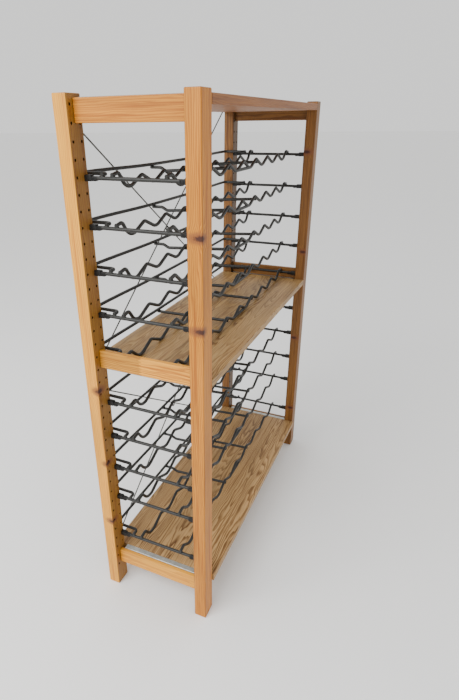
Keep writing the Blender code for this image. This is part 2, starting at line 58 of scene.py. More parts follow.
# Timber.
GAP = 0.3 * MM
ARRIS_R = 2.2 * MM
RUNG_EDGE_R = 1.8 * MM
SHELF_EDGE_R = 1.6 * MM
EDGE_STEPS = 3
TENON_SHOULDER = 2 * MM
TENON_HEIGHT = 28 * MM
TENON_LENGTH = 14 * MM

# Rows of peg holes.
HOLE_PITCH = 32 * MM
FIRST_HOLE_DROP = 18.7 * MM
ROW_COUNT = 37
HOLE_R = 2.9 * MM
HOLE_DEPTH = 15 * MM
HOLE_COUNTERSINK = 0.5 * MM
HOLE_SIDES = 16
OUTER_COLUMN_INSET = 9.5 * MM
INNER_COLUMN_INSET = 8.5 * MM

# Shelf ends.
SHOULDER_GAP = 0.5 * MM
TONGUE_SIDE_GAP = 5 * MM
PROFILE_THICK = 1.2 * MM
PROFILE_BEND_R = 1.6 * MM
PIN_R = 2.5 * MM
PIN_CHAMFER = 0.5 * MM
SLOT_CLEARANCE = 0.4 * MM
SHELF_ABOVE_ROW = 12 * MM
BOTTOM_SHELF_FORWARD = 4.5 * MM
PIN_REACH = 12 * MM
SLOT_OVERRUN = 2 * MM

# Bottle racks.
WIRE_R = 4 * MM
WIRE_SIDES = 12
BAR_BELOW_ROW = 2 * MM
WELD_SINK = 0.9 * MM
WELD_R = 4.4 * MM
WELD_SHAPE = (1.0, 1.0, 0.62)
WELD_STRETCH = 0.35
BOTTLES_ACROSS = 8
LAST_BEND_TO_BAR = 9.5 * MM
TIP_OVERHANG = 4 * MM
FRONT_WAVE_FROM_POST = 54 * MM
BACK_WAVE_FROM_POST = 63.5 * MM
FRONT_PEAK = 3 * MM
BACK_PEAK = -4.2 * MM
WAVE_DROP = 17.2 * MM
TROUGH_R = 34 * MM
PEAK_R = 16 * MM
HUMP_R = 11 * MM
HUMP_RISE = 7.5 * MM
HUMP_FROM_BAR = 15.5 * MM
CROSS_WIRE_OVERRUN = 4 * MM
CROSS_STEP_FOOT = 42 * MM
CROSS_STEP_HEAD = 21 * MM
CROSS_BEND_R = 14 * MM
BACK_WIRE_INSET = 7 * MM
BACK_WIRE_SAG = 4.5 * MM
BACK_ARM_FROM_POST = 9 * MM
BACK_ARM_TURN = 39 * MM
BACK_BEND_R = 11 * MM
BACK_ARM_BEND_R = 8.8 * MM
ARC_STEPS = 6

# Clips between a bar and its peg holes.
CLIP_X = 11.5 * MM
CLIP_Y = 16 * MM
CLIP_ABOVE = 4 * MM
CLIP_BELOW = 8 * MM
CLIP_EDGE_R = 1.6 * MM
CLIP_STEP_X = 9.4 * MM
CLIP_STEP_LENGTH = 11.5 * MM
CLIP_STEP_WALL = 0.8 * MM
CLIP_STEP_EDGE_R = 0.9 * MM
RIB_HEIGHT = 0.7 * MM
RIB_COUNT = 3
RIB_OFFSET = 0.75
CLIP_PEG_R = 2.5 * MM
CLIP_PEG_LENGTH = 10 * MM
# Towards the peg's tip: how far back from it, and the share of the peg's radius there.
CLIP_PEG_TIP = ((3 * MM, 1.0), (2.5 * MM, 0.92), (1 * MM, 0.88), (0, 0.55))

# Brace.
ROD_R = 1.8 * MM
EYE_R = 3.8 * MM
EYE_OPEN_DEGREES = 28
ROD_SIDES = 10
LAYER_BEND = 20 * MM
LAYER_BEND_START = 6 * MM
RING_R = 8 * MM
RING_HOLE_R = 3 * MM
RING_THICK = 1.4 * MM
RING_EDGE = 0.25 * MM
SCREW_R = 1.9 * MM
SCREW_HEAD_R = 4.2 * MM
SCREW_HEAD_THICK = 2.6 * MM
SCREW_RIM_THICK = 1.04 * MM
SCREW_FLAT_TOP = 0.35
SCREW_IN_POST = 14 * MM
SCREW_POINT = 2.5 * MM
SCREW_POINT_SHARE = 0.15
SCREW_CORE_SHARE = 0.8
SCREW_NECK_SHARE = 0.85
THREAD_PITCH = 1.3 * MM
THREAD_START = 2.8 * MM
THREAD_MARGIN = 4 * MM
THREAD_RISE = 0.4
THREAD_CREST = 0.55
PILOT_R = 2.2 * MM
PILOT_DEPTH = 15 * MM
RECESS_WIDTH = 1.0 * MM
RECESS_REACH = 2.3 * MM
RECESS_DEPTH = 1.3 * MM

# How shapes are drawn.
SMOOTH_ANGLE = math.radians(35)
STEEPEST_SLOPE = math.radians(85)
SLOPE_TRIES = 40
CUT_END_EASE = 0.25
CUT_END_WIDTH = 0.78
HOLE_POINT = 0.1


def middle(low, high):
    return (low + high) / 2


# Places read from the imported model.
POST_LOW, POST_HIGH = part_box("post_front_left")
_, FAR_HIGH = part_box("post_back_right")
HEIGHT = POST_HIGH.z
POST_X = POST_HIGH.x - POST_LOW.x
POST_Y = POST_HIGH.y - POST_LOW.y
FRAME_Y = middle(POST_LOW.y, FAR_HIGH.y)
LENGTH = FAR_HIGH.x - POST_LOW.x
DEPTH = FAR_HIGH.y - POST_LOW.y
INNER_X = LENGTH / 2 - POST_X
INNER_Y = DEPTH / 2 - POST_Y
POST_CENTRE_X = LENGTH / 2 - POST_X / 2
POST_CENTRE_Y = DEPTH / 2 - POST_Y / 2
PEG_X = INNER_X + INNER_COLUMN_INSET
BOTTLE_PITCH = (PEG_X - LAST_BEND_TO_BAR) * 2 / BOTTLES_ACROSS
WIRE_LIFT = 2 * WIRE_R - WELD_SINK
TIP_Z = WIRE_LIFT - BAR_BELOW_ROW
FRONT_WAVE_Y = FRONT_WAVE_FROM_POST - INNER_Y
BACK_WAVE_Y = INNER_Y - BACK_WAVE_FROM_POST
BACK_WIRE_Y = DEPTH / 2 - BACK_WIRE_INSET
ROD_LAYER_1 = DEPTH / 2 + GAP + ROD_R
ROD_LAYER_2 = ROD_LAYER_1 + 2 * ROD_R + 2 * GAP + RING_THICK


def row_z(row):
    """Height of a row of peg holes, counted from 1 at the top."""
    return HEIGHT - FIRST_HOLE_DROP - HOLE_PITCH * (row - 1)


def side_name(sign_x):
    return "left" if sign_x < 0 else "right"


def nearest_row_z(height):
    return row_z(round((row_z(1) - height) / HOLE_PITCH) + 1)


# -------------------- shapes


def add_box(bm, low, high):
    """A box between two corners."""
    low = Vector(low)
    high = Vector(high)
    matrix = Matrix.Translation((low + high) / 2) @ Matrix.Diagonal((*(high - low), 1.0))
    return bmesh.ops.create_cube(bm, size=1.0, matrix=matrix)["verts"]


def add_eased_box(bm, low, high, radius):
    """A box with rounded edges."""
    corners = add_box(bm, low, high)
    edges = {edge for corner in corners for edge in corner.link_edges}
    rounding = {"segments": EDGE_STEPS, "profile": 0.5, "affect": "EDGES", "clamp_overlap": True}
    bmesh.ops.bevel(bm, geom=list(edges), offset=radius, **rounding)


def add_rings(bm, centres, frames, radii, sides):
    """A closed round skin over rings at the given centres, each lying in its own pair of directions."""
    angles = [2 * math.pi * side / sides for side in range(sides)]
    rings = []
    for centre, (normal, across), radius in zip(centres, frames, radii):
        ways = [normal * math.cos(angle) + across * math.sin(angle) for angle in angles]
        rings.append([bm.verts.new(centre + radius * way) for way in ways])
    for first, second in zip(rings, rings[1:]):
        for side in range(sides):
            after = (side + 1) % sides
            bm.faces.new((first[side], first[after], second[after], second[side]))
    bm.faces.new(rings[0][::-1])
    bm.faces.new(rings[-1])


def add_turned(bm, start, axis, profile, sides):
    """A turned shape: profile lists (distance along the axis, radius)."""
    start = Vector(start)
    axis = Vector(axis).normalized()
    normal = axis.orthogonal().normalized()
    across = axis.cross(normal)
    centres = [start + axis * distance for distance, _ in profile]
    add_rings(bm, centres, [(normal, across)] * len(profile), [radius for _, radius in profile], sides)


def add_wire(bm, points, radius, sides=WIRE_SIDES):
    """A round wire along a path, with its cut ends slightly rounded."""
    points = [Vector(point) for point in points]
    start_way = (points[1] - points[0]).normalized()
    end_way = (points[-1] - points[-2]).normalized()
    ease = radius * CUT_END_EASE
    centres = [points[0], points[0] + start_way * ease] + points[1:-1]
    centres += [points[-1] - end_way * ease, points[-1]]
    cut_end = radius * CUT_END_WIDTH
    radii = [cut_end] + [radius] * (len(centres) - 2) + [cut_end]
    normal = start_way.orthogonal().normalized()
    frames = []
    for index in range(len(centres)):
        before = centres[max(index - 1, 0)]
        after = centres[min(index + 1, len(centres) - 1)]
        way = (after - before).normalized()
        normal = (normal - way * normal.dot(way)).normalized()
        frames.append((normal.copy(), way.cross(normal)))
    add_rings(bm, centres, frames, radii, sides)


def s_bend(start, end, first_radius, second_radius):
    """Points in a plane that leave one level on an arc, follow a slope and level out on another arc."""
    run = end[0] - start[0]
    rise = end[1] - start[1]
    up = math.copysign(1, rise)
    both = first_radius + second_radius
    low = 0.0
    high = math.asin(run / both) if run < both else STEEPEST_SLOPE
    for _ in range(SLOPE_TRIES):
        angle = (low + high) / 2
        slope = (run - both * math.sin(angle)) / math.cos(angle)
        climbed = both * (1 - math.cos(angle)) + slope * math.sin(angle)
        low, high = (angle, high) if climbed < abs(rise) else (low, angle)
    steps = [angle * step / ARC_STEPS for step in range(ARC_STEPS + 1)]
    points = []
    for a in steps:
        climb = up * first_radius * (1 - math.cos(a))
        points.append((start[0] + first_radius * math.sin(a), start[1] + climb))
    for a in reversed(steps):
        climb = up * second_radius * (1 - math.cos(a))
        points.append((end[0] - second_radius * math.sin(a), end[1] - climb))
    return points


def bend(corner, before, after, radius):
    """Points round a bend at a square corner between two directions."""
    corner = Vector(corner)
    before = Vector(before)
    after = Vector(after)
    centre = corner + (before + after) * radius
    angles = [math.pi / 2 * step / ARC_STEPS for step in range(ARC_STEPS + 1)]
    return [centre - after * radius * math.cos(a) - before * radius * math.sin(a) for a in angles]


def finished_mesh(bm, name):
    """A bmesh made into a mesh with its faces pointing out and its round faces smooth."""
    mesh = bpy.data.meshes.new(name)
    bmesh.ops.recalc_face_normals(bm, faces=bm.faces)
    bm.to_mesh(mesh)
    bm.free()
    mesh.shade_smooth()
    mesh.set_sharp_from_angle(angle=SMOOTH_ANGLE)
    return mesh


def carved_mesh(blank, changes, name):
    """A blank with shapes cut from it or joined to it. changes lists (operation, bmesh)."""
    scratch = [bpy.data.objects.new(name, finished_mesh(blank, name))]
    for operation, shape in changes:
        other = bpy.data.objects.new(f"{name}_cut", finished_mesh(shape, f"{name}_cut"))
        scratch.append(other)
        modifier = scratch[0].modifiers.new(operation, "BOOLEAN")
        modifier.operation = operation
        modifier.solver = "EXACT"
        modifier.object = other
    for obj in scratch:
        bpy.context.scene.collection.objects.link(obj)
    bpy.context.view_layer.update()
    graph = bpy.context.evaluated_depsgraph_get()
    mesh = bpy.data.meshes.new_from_object(scratch[0].evaluated_get(graph))
    for obj in scratch:
        bpy.data.objects.remove(obj, do_unlink=True)
    mesh.name = name
    mesh.materials.clear()
    mesh.shade_smooth()
    mesh.set_sharp_from_angle(angle=SMOOTH_ANGLE)
    return mesh


def show(name, mesh, material, location=(0, 0, 0), turn=0.0, node=None, even=False):
    """Puts a piece in place, riding on the frame. node is the CAD node that it stands for."""
    piece = bpy.data.objects.new(name, mesh)
    piece.location = Vector(location)
    piece.rotation_euler = (0, 0, turn)
    if not mesh.materials:
        mesh.materials.append(material)
    bpy.context.scene.collection.objects.link(piece)
    if even:
        modifier = piece.modifiers.new("even_shading", "WEIGHTED_NORMAL")
        modifier.keep_sharp = True
    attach(piece, "root")
    if node:
        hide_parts(node)
    return piece


# -------------------- materials


class Graph:
    """Builds a material's nodes round its Principled BSDF."""

    def __init__(self, name, specular=0.5, **surface):
        self.material = bpy.data.materials.new(name)
        self.material.use_nodes = True
        self.tree = self.material.node_tree
        self.shader = self.tree.nodes["Principled BSDF"]
        for key, value in surface.items():
            self.shader.inputs[key.replace("_", " ").title()].default_value = value
        self.shader.inputs["Specular IOR Level"].default_value = specular

    def node(self, kind, inputs=None, **settings):
        made = self.tree.nodes.new("ShaderNode" + kind)
        for key, value in settings.items():
            setattr(made, key, value)
        for key, value in (inputs or {}).items():
            self.feed(made.inputs[key], value)
        return made

    def feed(self, socket, value):
        if isinstance(value, bpy.types.NodeSocket):
            self.tree.links.new(value, socket)
        else:
            socket.default_value = value

    def math(self, operation, *values):
        return self.node("Math", dict(enumerate(values)), operation=operation).outputs[0]

    def vector(self, operation, *values):
        made = self.node("VectorMath", dict(enumerate(values)), operation=operation)
        return made.outputs["Value" if operation in ("LENGTH", "DOT_PRODUCT") else "Vector"]

    def object_point(self):
        return self.node("TexCoord").outputs["Object"]

    def noise(self, point, scale, detail=2.0, roughness=0.5, output="Fac"):
        inputs = {"Vector": point, "Scale": scale, "Detail": detail, "Roughness": roughness}
        return self.node("TexNoise", inputs).outputs[output]

    def spread(self, value, low, high, new_low=0.0, new_high=1.0, smooth=False):
        """Takes low..high to new_low..new_high, held at the ends."""
        kind = "SMOOTHSTEP" if smooth else "LINEAR"
        inputs = {0: value, 1: low, 2: high, 3: new_low, 4: new_high}
        return self.node("MapRange", inputs, interpolation_type=kind).outputs[0]

    def mix(self, factor, first, second, blend="MIX"):
        inputs = {0: factor, 6: first, 7: second}
        return self.node("Mix", inputs, data_type="RGBA", blend_type=blend).outputs[2]

    def finish(self, colour, roughness, relief, distance, strength):
        """Joins the looks to the shader and gives the material."""
        inputs = {"Height": relief, "Distance": distance, "Strength": strength}
        normal = self.node("Bump", inputs).outputs[0]
        for name, value in (("Base Color", colour), ("Roughness", roughness), ("Normal", normal)):
            self.feed(self.shader.inputs[name], value)
        return self.material


# How pine grows. A noise scale is per metre.
RING_SPACING = 3.6 * MM
POST_SWAY = 14 * MM
BOARD_SWAY = 90 * MM
BOARD_RING_STRENGTH = 1.25
SWAY_SCALE = 9.0
SWAY_STRETCH = 0.16
FIBRE_STRETCH = 0.025
FIBRE_SCALE = 1500.0
STREAK_SCALE = 170.0
DRIFT_SCALE = 14.0
TONE_SCALE = 22.0
TIMBER_TONES = (0.84, 1.14)
UNEVEN_SCALE = 55.0
UNEVEN_RINGS = 3.2
LATE_FROM = 0.25
LATE_UNTIL = 0.9
KNOT_ROUGHNESS_SCALE = 260.0
KNOT_SWELL = 5 * MM
GRAIN_ORDER = {"X": (1, 2, 0), "Y": (0, 2, 1), "Z": (0, 1, 2)}

# How boards and posts are made, and the painted shade in the posts' holes and on their drilled sides.
STAVE_SHIFT = 3.7
STAVE_PITH_SIDE = 26 * MM
STAVE_PITH_NEAR = -28 * MM
STAVE_PITH_FAR = -75 * MM
STAVE_TONES = (0.84, 1.12)
SEAM_WIDTH = 0.5 * MM
SEAM_TONE = 0.72
FINGER_HALF_PITCH = 4 * MM
FINGER_SLOPE = 2.2
JOINT_TONES = (1.22, 0.82)
# Painted shade in a post's holes: how deep below the outer faces it starts, where it is full, and how dark
# it gets.
PAINTED_HOLE_SHADE_FROM = 0.3 * MM
PAINTED_HOLE_SHADE_FULL = 0.9 * MM
PAINTED_HOLE_SHADE_TONE = 0.08
# Painted shade on a post's drilled side, which faces into the rack: how deep it reaches, how much it
# browns and darkens, and its brown.
PAINTED_SIDE_SHADE_FULL = 0.2 * MM
PAINTED_SIDE_SHADE_UNTIL = 1.4 * MM
PAINTED_SIDE_SHADE_SHARE = 0.55
PAINTED_SIDE_SHADE_TONE = 0.72
PAINTED_SIDE_SHADE_BROWN = (0.12, 0.07, 0.032)
KNOT_HEART = (0.055, 0.017, 0.01)
KNOT_RIM = (0.19, 0.062, 0.024)

# Wire, plastic and plating.
CHARCOAL = (0.012, 0.012, 0.011)
DUSTY_CHARCOAL = (0.026, 0.026, 0.023)
BLACK = (0.006, 0.006, 0.006)
MEAN_UNEVENNESS = 0.14


def grain_space(graph, point, grain, seed, staves):
    """Coordinates across and along the fibres, with the number of the glued stave they fall in."""
    parts = graph.node("SeparateXYZ", {0: point}).outputs
    across, up, along = (parts[axis] for axis in GRAIN_ORDER[grain])
    number = 0.0
    if staves:
        width, start = staves
        place = graph.math("DIVIDE", graph.math("SUBTRACT", across, start), width)
        number = graph.math("FLOOR", place)
        middle_line = graph.math("MULTIPLY_ADD", graph.math("ADD", number, 0.5), width, start)
        across = graph.math("SUBTRACT", across, middle_line)
    shift = graph.math("MULTIPLY_ADD", number, STAVE_SHIFT, seed)
    return across, up, graph.math("ADD", along, shift), number


def stretched(graph, across, up, along, share):
    """A point for noise that is drawn out along the fibres."""
    along = graph.math("MULTIPLY", along, share)
    return graph.node("CombineXYZ", {0: across, 1: up, 2: along}).outputs[0]


def stave_chance(graph, number, seed):
    """Three random values of its own for each stave."""
    key = graph.math("ADD", number, seed)
    made = graph.node("TexWhiteNoise", {"W": key}, noise_dimensions="1D")
    return graph.node("SeparateColor", {0: made.outputs["Color"]}).outputs


def knot_distance(graph, point, knots):
    """How far a point lies from the nearest knot, with about 1 at a knot's ragged edge."""
    nearest = None
    for centre, half in knots:
        offset = graph.vector("SUBTRACT", point, tuple(centre))
        distance = graph.vector("LENGTH", graph.vector("DIVIDE", offset, tuple(half)))
        rough = graph.noise(point, KNOT_ROUGHNESS_SCALE)
        ragged = graph.math("MULTIPLY_ADD", rough, 0.5, distance)
        nearest = ragged if nearest is None else graph.math("MINIMUM", nearest, ragged)
    return nearest


def trunk_radius(graph, section, lengthwise, pith, sway):
    """Distance from the middle of the trunk, which strays along its length."""
    wander = graph.noise(lengthwise, SWAY_SCALE, roughness=0.45, output="Color")
    wander = graph.vector("SCALE", graph.vector("SUBTRACT", wander, (0.5, 0.5, 0.5)))
    wander.node.inputs["Scale"].default_value = sway
    pith_point = graph.node("CombineXYZ", {0: pith[0], 1: pith[1], 2: 0.0}).outputs[0]
    reach = graph.vector("ADD", graph.vector("SUBTRACT", section, pith_point), wander)
    reach = graph.vector("MULTIPLY", reach, (1.0, 1.0, 0.0))
    return graph.vector("LENGTH", reach)


def year_rings(graph, radius, lengthwise):
    """Dark late growth: each ring darkens slowly outwards and ends sharply."""
    uneven = graph.math("MULTIPLY", graph.noise(lengthwise, UNEVEN_SCALE), UNEVEN_RINGS)
    year = graph.math("FRACT", graph.math("ADD", graph.math("DIVIDE", radius, RING_SPACING), uneven))
    darkening = graph.spread(year, LATE_FROM, LATE_UNTIL, smooth=True)
    return graph.math("MULTIPLY", darkening, graph.spread(year, LATE_UNTIL, 1.0, 1.0, 0.0))


def stave_tone(graph, tone, across, width, chance):
    """Each stave has a tone of its own, and the glued seams are dark."""
    tone = graph.math("MULTIPLY", tone, graph.spread(chance, 0, 1, *STAVE_TONES))
    seam = graph.math("ABSOLUTE", across)
    on_seam = graph.spread(seam, width / 2 - SEAM_WIDTH, width / 2, 1.0, SEAM_TONE)
    return graph.math("MULTIPLY", tone, on_seam)


def joint_tone(graph, tone, up, along, joint):
    """The two lengths of timber either side of a finger joint differ in tone."""
    zigzag = graph.math("PINGPONG", up, FINGER_HALF_PITCH)
    place = graph.math("SUBTRACT", graph.math("MULTIPLY_ADD", zigzag, FINGER_SLOPE, along), joint)
    side = graph.math("GREATER_THAN", place, 0.0)
    return graph.math("MULTIPLY", tone, graph.spread(side, 0, 1, *JOINT_TONES))


def painted_hole_shade(graph, tone, point, half):
    """An upright piece has painted shade inside its holes, which lie deeper than any of its outer faces.
    """
    parts = graph.node("SeparateXYZ", {0: point}).outputs
    height = parts["Z"]
    depth = graph.math("MINIMUM", graph.math("SUBTRACT", HEIGHT, height), height)
    for limit, axis in zip(half, "XY"):
        side_depth = graph.math("SUBTRACT", limit, graph.math("ABSOLUTE", parts[axis]))
        depth = graph.math("MINIMUM", depth, side_depth)
    hole_shade = graph.spread(depth, PAINTED_HOLE_SHADE_FROM, PAINTED_HOLE_SHADE_FULL, 1.0, PAINTED_HOLE_SHADE_TONE)
    return graph.math("MULTIPLY", tone, hole_shade)


def pine(
    name, grain, seed, sap, late, pith=None, knots=(), staves=None,
    ring_strength=1.0, joint_at=None, sway=POST_SWAY, drilled=None, inner_way=1,
):
    """Lacquered pine.

    sap and late are its pale and dark growth, and pith is where the middle of its rings lies across it;
    a glued board's staves each have their own. Where sap and late are the shaded pair, they hold painted
    shade. knots lists (centre, half sizes) in the piece's own coordinates. staves is the width of the
    glued strips and where one starts. joint_at is how far along the fibres a finger joint lies. sway is
    how far the trunk's middle strays. drilled is the half width and half depth of a post, whose holes get
    painted shade. inner_way is +1 if its drilled side, which gets painted shade, faces -Y, and -1 if it
    faces +Y.
    """
    graph = Graph(name, specular=0.28, coat_weight=0.05, coat_roughness=0.3)
    point = graph.object_point()
    across, up, along, number = grain_space(graph, point, grain, seed, staves)
    if staves:
        chance = stave_chance(graph, number, seed)
        pith = (
            graph.spread(chance[0], 0, 1, -STAVE_PITH_SIDE, STAVE_PITH_SIDE),
            graph.spread(chance[1], 0, 1, STAVE_PITH_FAR, STAVE_PITH_NEAR),
        )
    lengthwise = stretched(graph, across, up, along, SWAY_STRETCH)
    section = graph.node("CombineXYZ", {0: across, 1: up, 2: 0.0}).outputs[0]
    radius = trunk_radius(graph, section, lengthwise, pith, sway)
    if knots:
        knot = knot_distance(graph, point, knots)
        swell = graph.spread(knot, 0.6, 3.6, KNOT_SWELL, 0.0, smooth=True)
        radius = graph.math("ADD", radius, swell)
    late_wood = year_rings(graph, radius, lengthwise)

    fibre_point = stretched(graph, across, up, along, FIBRE_STRETCH)
    fibre = graph.noise(fibre_point, FIBRE_SCALE, detail=3.0, roughness=0.6)
    streak = graph.noise(fibre_point, STREAK_SCALE)
    drift = graph.noise(lengthwise, DRIFT_SCALE, detail=3.0, roughness=0.55)
    strength = graph.spread(drift, 0.3, 0.7, 0.3 * ring_strength, 0.95 * ring_strength)
    dark = (*late, 1)
    colour = graph.mix(graph.math("MULTIPLY", late_wood, strength), (*sap, 1), dark)
    colour = graph.mix(graph.spread(fibre, 0.35, 0.75, 0.0, 0.3), colour, dark)
    colour = graph.mix(graph.spread(streak, 0.48, 0.72, 0.0, 0.75, smooth=True), colour, dark)

    tone = graph.spread(graph.noise(lengthwise, TONE_SCALE, detail=3.0), 0.3, 0.7, *TIMBER_TONES)
    if staves:
        tone = stave_tone(graph, tone, across, staves[0], chance[2])
    if joint_at is not None:
        tone = joint_tone(graph, tone, up, along, seed + joint_at)
    if drilled:
        # Painted shade inside the holes and mortises.
        tone = painted_hole_shade(graph, tone, point, drilled)
        # Painted shade: the drilled side is darkened and browned.
        depth = graph.math("MULTIPLY_ADD", up, inner_way, drilled[1])
        side_shade = graph.spread(depth, PAINTED_SIDE_SHADE_FULL, PAINTED_SIDE_SHADE_UNTIL, 1.0, 0.0)
        tone = graph.math("MULTIPLY", tone, graph.spread(side_shade, 0, 1, 1.0, PAINTED_SIDE_SHADE_TONE))
        colour = graph.mix(graph.math("MULTIPLY", side_shade, PAINTED_SIDE_SHADE_SHARE), colour, (*PAINTED_SIDE_SHADE_BROWN, 1))
    grey = graph.node("CombineColor", {0: tone, 1: tone, 2: tone}).outputs[0]
    colour = graph.mix(1.0, colour, grey, "MULTIPLY")
    if knots:
        colour = graph.mix(graph.spread(knot, 1.0, 1.9, 0.75, 0.0, smooth=True), colour, (*KNOT_RIM, 1))
        colour = graph.mix(graph.spread(knot, 0.55, 1.05, 1.0, 0.0, smooth=True), colour, (*KNOT_HEART, 1))
    roughness = graph.spread(fibre, 0.3, 0.8, 0.42, 0.58)
    relief = graph.math("ADD", graph.math("MULTIPLY", late_wood, 0.6), graph.math("MULTIPLY", fibre, 0.5))
    return graph.finish(colour, roughness, relief, distance=0.06 * MM, strength=0.6)


def coated_wire():
    """Charcoal powder coat with the faint unevenness of a dipped finish and some dust on it."""
    graph = Graph("charcoal_coating", specular=0.35, coat_weight=0.03, coat_roughness=0.4)
    point = graph.object_point()
    patches = graph.noise(point, scale=55.0, detail=3.0, roughness=0.6)
    pores = graph.noise(point, scale=1400.0, roughness=0.6)
    colour = graph.mix(graph.spread(patches, 0.35, 0.75), (*CHARCOAL, 1), (*DUSTY_CHARCOAL, 1))
    roughness = graph.spread(patches, 0.3, 0.7, 0.34, 0.5)
    relief = graph.math("MULTIPLY_ADD", pores, 0.5, patches)
    return graph.finish(colour, roughness, relief, distance=0.08 * MM, strength=0.5)


def black_plastic():
    """Moulded black plastic with a fine spark-eroded grain."""
    graph = Graph("clip_plastic", specular=0.35)
    point = graph.object_point()
    grain = graph.noise(point, scale=2600.0, roughness=0.6)
    flow = graph.noise(point, scale=120.0)
    colour = graph.mix(graph.spread(flow, 0.3, 0.7), (*BLACK, 1), (*CHARCOAL, 1))
    roughness = graph.spread(grain, 0.3, 0.7, 0.4, 0.58)
    return graph.finish(colour, roughness, grain, distance=0.04 * MM, strength=0.6)


def zinc(name, pale, dull, roughness):
    """Zinc plating: crystal patches, fine scratches and dull spots."""
    graph = Graph(name, metallic=0.85)
    point = graph.object_point()
    cells = graph.node("TexVoronoi", {"Vector": point, "Scale": 130.0}).outputs["Color"]
    patch = graph.node("SeparateColor", {0: cells}).outputs[0]
    stain = graph.noise(point, scale=45.0, detail=4.0, roughness=0.65)
    scratch_point = graph.vector("MULTIPLY", point, (3.0, 0.15, 3.0))
    scratches = graph.noise(scratch_point, scale=700.0, detail=3.0, roughness=0.7)
    colour = graph.mix(graph.spread(stain, 0.35, 0.7), (*pale, 1), (*dull, 1))
    colour = graph.mix(graph.spread(patch, 0, 1, 0.0, 0.18), colour, (*dull, 1))
    uneven = graph.math("ADD", graph.math("MULTIPLY", patch, 0.12), graph.math("MULTIPLY", stain, 0.16))
    uneven = graph.math("ADD", uneven, roughness - MEAN_UNEVENNESS)
    return graph.finish(colour, uneven, scratches, distance=0.02 * MM, strength=0.5)


# -------------------- timber


def brace_ends():
    """For each brace rod: its layer, and the heights of its ends on the left and the right post."""
    ends = {}
    for level in ("upper", "lower"):
        for way, layer in (("falling", ROD_LAYER_1), ("rising", ROD_LAYER_2)):
            name = f"{level}_{way}"
            heights = []
            for side in SIDES_X:
                low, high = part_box(f"brace_screw_{name}_{side}")
                heights.append(middle(low.z, high.z))
            ends[name] = (layer, *heights)
    return ends


def rung_height(level):
    low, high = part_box(f"rung_{level}_left")
    return middle(low.z, high.z)


def post_cuts(sign_x, sign_y):
    """Peg holes, rung mortises and the brace's pilot holes of one post."""
    cuts = bmesh.new()
    inner_face = -sign_y * POST_Y / 2
    into = (0, sign_y, 0)
    mouth = HOLE_R + HOLE_COUNTERSINK
    profile = [(-HOLE_R, mouth), (0, mouth), (HOLE_COUNTERSINK, HOLE_R), (HOLE_DEPTH, HOLE_R)]
    profile.append((HOLE_DEPTH + HOLE_R / 2, HOLE_R * HOLE_POINT))
    inner = -sign_x * (POST_X / 2 - INNER_COLUMN_INSET)
    outer = sign_x * (POST_X / 2 - OUTER_COLUMN_INSET)
    for row in range(1, ROW_COUNT + 1):
        for x in (inner, outer):
            add_turned(cuts, (x, inner_face, row_z(row)), into, profile, HOLE_SIDES)
    rung_low, rung_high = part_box(f"rung_top_{side_name(sign_x)}")
    centre = middle(rung_low.x, rung_high.x) - sign_x * POST_CENTRE_X
    half_thick = (rung_high.x - rung_low.x) / 2 - TENON_SHOULDER + GAP
    half_high = TENON_HEIGHT / 2 + GAP
    ends = sorted((inner_face - sign_y * TENON_SHOULDER, inner_face + sign_y * (TENON_LENGTH + GAP)))
    for level in LEVELS:
        height = rung_height(level)
        low = (centre - half_thick, ends[0], height - half_high)
        high = (centre + half_thick, ends[1], height + half_high)
        add_box(cuts, low, high)
    if sign_y > 0:
        pilot = [(-PILOT_R, PILOT_R), (PILOT_DEPTH, PILOT_R)]
        pilot.append((PILOT_DEPTH + PILOT_R / 2, PILOT_R * HOLE_POINT))
        for _, left_z, right_z in brace_ends().values():
            height = left_z if sign_x < 0 else right_z
            add_turned(cuts, (0, POST_Y / 2, height), (0, -1, 0), pilot, HOLE_SIDES)
    return cuts


# Pale growth of each kind of pine, and the late growth that goes with it. The shaded honey pair is
# honey pine darkened as painted shade, for the posts and rungs of the right ladder, further from the
# light.
HONEY = (0.59, 0.228, 0.018)
HONEY_LATE = (0.28, 0.072, 0.004)
SHADED_HONEY = (0.26, 0.115, 0.027)
SHADED_LATE = (0.11, 0.038, 0.008)
GOLDEN = (0.74, 0.33, 0.03)
PALE_HONEY = (0.82, 0.38, 0.035)
PALE_LATE = (0.5, 0.16, 0.012)

# For each post: its pale and dark growth, the rings' centre, and the knots' places and half sizes in mm,
# from the middle of the post's foot.
POSTS = {
    "front_left": (
        HONEY, HONEY_LATE, (-60 * MM, 50 * MM),
        (((-22, -13, 998), (15, 26, 9.5)), ((-22, -13, 816), (15, 26, 9.5))),
    ),
    "front_right": (
        # Painted shade: the right ladder's posts take the darker shaded pair.
        SHADED_HONEY, SHADED_LATE, (-50 * MM, 30 * MM),
        (
            ((-22, 6, 1099), (15, 18, 9)),
            ((-22, -6, 785), (13, 18, 9)),
            ((-22, 3, 469), (13, 18, 9)),
            ((-22, -4, 173), (13, 17, 9)),
        ),
    ),
    "back_left": (
        PALE_HONEY, PALE_LATE, (-52 * MM, 48 * MM),
        (((-16, -14, 624), (17, 14, 10)), ((-14, -16, 417), (16, 12, 8)), ((-16, -12, 230), (17, 14, 9))),
    ),
    # Painted shade: the shaded pair again.
    "back_right": (SHADED_HONEY, SHADED_LATE, (48 * MM, -36 * MM), (((-20, -10, 905), (12, 12, 5)),)),
}


# How far along its trunk a piece's grain starts, so that no two look the same.
POST_START = 1.3
BACK_START = 0.4
RUNG_START = 5.1
RUNG_STEP = 1.7
RIGHT_START = 0.8
SHELF_START = 11.0
SHELF_STEP = 2.9


